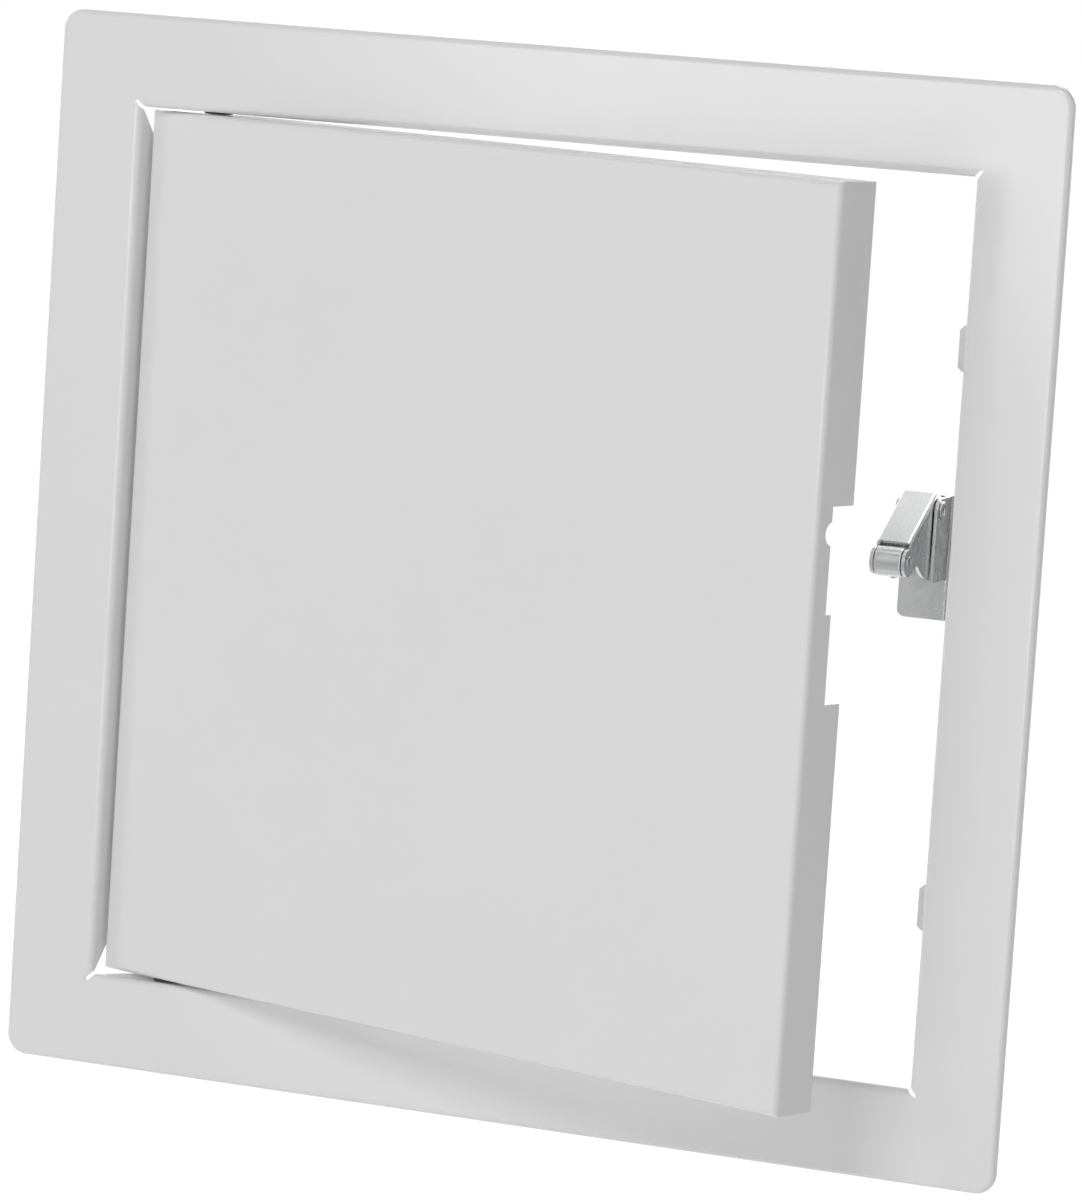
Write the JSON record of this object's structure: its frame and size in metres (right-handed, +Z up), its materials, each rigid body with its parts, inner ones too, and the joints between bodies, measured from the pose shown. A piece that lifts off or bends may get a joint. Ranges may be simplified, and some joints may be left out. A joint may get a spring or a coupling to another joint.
{
  "type": "ceiling access panel",
  "caption": "Square folded-steel access panel: flanged frame, inset door pan on pin hinges, spring-loaded lift-off hinge pin and a roller touch latch.",
  "frame": {"origin": "centre of the opening, on the plane where the rim seats on the ceiling or wall", "axes": "+X to the latch side, +Y into the building, +Z up the panel as the picture shows it"},
  "size_m": [0.356, 0.1295, 0.356],
  "materials": {
    "powder_coat": "satin white powder coat",
    "zinc": "bright zinc plate",
    "chrome": "dull nickel-chrome plate",
    "black_nylon": "moulded",
    "spring_steel": "drawn wire",
    "copper_flash": "copper-flashed steel"
  },
  "bodies": {
    "frame": {"frame": "powder_coat", "hinge_bush_top": "black_nylon", "hinge_bush_bottom": "black_nylon", "latch_bracket": "chrome", "latch_bracket_rivets": "zinc", "latch_base": "chrome", "latch_base_rivets": "chrome", "latch_pivot_pin": "chrome", "latch_torsion_spring": "spring_steel"},
    "door": {"door_pan": "powder_coat", "hinge_bracket_top": "zinc", "hinge_bracket_bottom": "zinc", "hinge_pin_bottom": "zinc", "strike_bracket": "zinc", "weld_studs": "copper_flash", "stud_nuts": "zinc", "hinge_pin_spring": "spring_steel"},
    "hinge_pin": {"hinge_pin_top": "zinc", "hinge_pin_knob": "black_nylon"},
    "latch_lever": {"latch_lever": "chrome", "latch_roller_axle": "chrome"},
    "latch_roller": {"latch_roller": "chrome"}
  },
  "joints": [
    {"name": "door_hinge", "type": "hinge", "parent": "frame", "child": "door", "pos_m": [-0.122, 0.0049, 0], "axis": [0, 0, -1], "range_deg": [-17.5, 82.5]},
    {"name": "latch_lever_pivot", "type": "hinge", "parent": "frame", "child": "latch_lever", "pos_m": [0.1248, 0.0318, 0.037], "axis": [1, 0, 0], "range_deg": [0, 30], "stiffness_Nm_per_rad": 0.05, "springref_deg": -28.65, "deforming": ["latch_torsion_spring"]},
    {"name": "latch_roller_spin", "type": "hinge", "parent": "latch_lever", "child": "latch_roller", "pos_m": [0.1248, 0.00734, 0.02142], "axis": [1, 0, 0], "continuous": true},
    {"name": "hinge_pin_slide", "type": "slide", "parent": "door", "child": "hinge_pin", "axis": [0, 0, -1], "range_m": [0, 0.006], "stiffness_N_per_m": 300, "springref_m": -0.01, "deforming": ["hinge_pin_spring"]}
  ]
}
